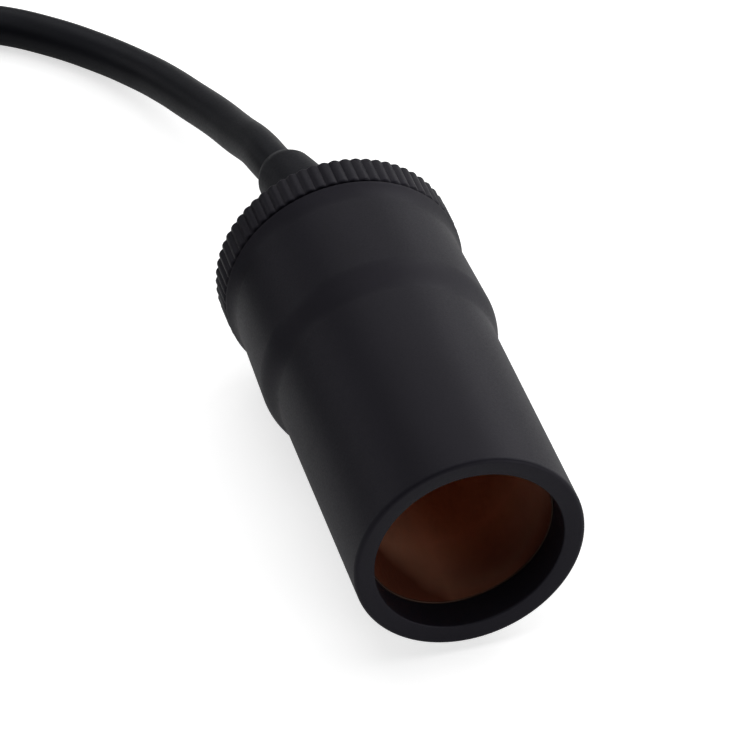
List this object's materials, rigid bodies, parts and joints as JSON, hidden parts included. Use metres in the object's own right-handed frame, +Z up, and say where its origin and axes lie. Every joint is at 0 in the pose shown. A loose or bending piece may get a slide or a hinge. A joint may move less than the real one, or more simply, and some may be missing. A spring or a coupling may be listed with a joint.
{
  "type": "in-line 12 V car power socket",
  "caption": "In-line 12 V car power socket: black plastic tube with a copper contact sleeve and knurled end cap, on a coiled lead with a fused plug.",
  "frame": {"origin": "on the ground under the middle of the socket's own box, lead and plug left out", "axes": "+Z up, -Y along the socket's level axis out of its mouth, +X to the right seen from above with the mouth towards the viewer"},
  "size_m": [0.1207, 0.1371, 0.029],
  "materials": {
    "black_plastic": "matt black moulding with a fine even grain",
    "coppered_steel": "dark copper sheet, drawn, dull sheen",
    "tinned_brass": "tinned, dull",
    "brown_plastic": "dark brown phenolic, dull",
    "brass": "pressed brass, satin",
    "red_insulation": "soft red insulation, satin",
    "black_insulation": "soft black insulation, satin",
    "soft_black": "soft black moulding, matt",
    "lead_sheath": "smooth black sheath, satin",
    "strap": "black strap, dull",
    "bright_steel": "bright steel, satin",
    "chrome": "nickel plate, bright",
    "fuse_glass": "clear glass"
  },
  "bodies": {
    "socket_and_lead": {"housing": "black_plastic", "end_cap": "black_plastic", "contact_shell": "coppered_steel", "earth_tag": "tinned_brass", "insulator": "brown_plastic", "centre_contact": "brass", "centre_rivet": "brass", "live_tag": "tinned_brass", "live_core": "red_insulation", "earth_core": "black_insulation", "strain_relief": "soft_black", "cable": "lead_sheath", "cable_coil": "lead_sheath", "cable_tie": "strap", "cable_tail": "lead_sheath", "plug_half_upper": "black_plastic", "plug_half_lower": "black_plastic", "plug_screw": "bright_steel", "nose_ring": "chrome", "pin_spring": "bright_steel", "rear_contact": "brass", "contact_bridge": "bright_steel", "plug_live_core": "red_insulation", "plug_earth_core": "black_insulation", "plug_relief": "soft_black"},
    "pin_group": {"centre_pin": "chrome", "fuse_glass": "fuse_glass", "fuse_cap_front": "chrome", "fuse_cap_rear": "chrome"},
    "left_contact": {"side_contact_left": "bright_steel"},
    "right_contact": {"side_contact_right": "bright_steel"}
  },
  "joints": [
    {"name": "pin_slide", "type": "slide", "parent": "socket_and_lead", "child": "pin_group", "axis": [0, 1, 0], "range_m": [0, 0.0035], "stiffness_N_per_m": 800, "springref_m": -0.004, "deforming": ["pin_spring"]},
    {"name": "left_contact_press", "type": "hinge", "parent": "socket_and_lead", "child": "left_contact", "pos_m": [-0.1024, 0.009, 0.012], "axis": [0, 0, 1], "range_deg": [0, 5], "stiffness_Nm_per_rad": 0.2, "springref_deg": -5.73},
    {"name": "right_contact_press", "type": "hinge", "parent": "socket_and_lead", "child": "right_contact", "pos_m": [-0.086, 0.009, 0.012], "axis": [0, 0, -1], "range_deg": [0, 5], "stiffness_Nm_per_rad": 0.2, "springref_deg": -5.73}
  ]
}
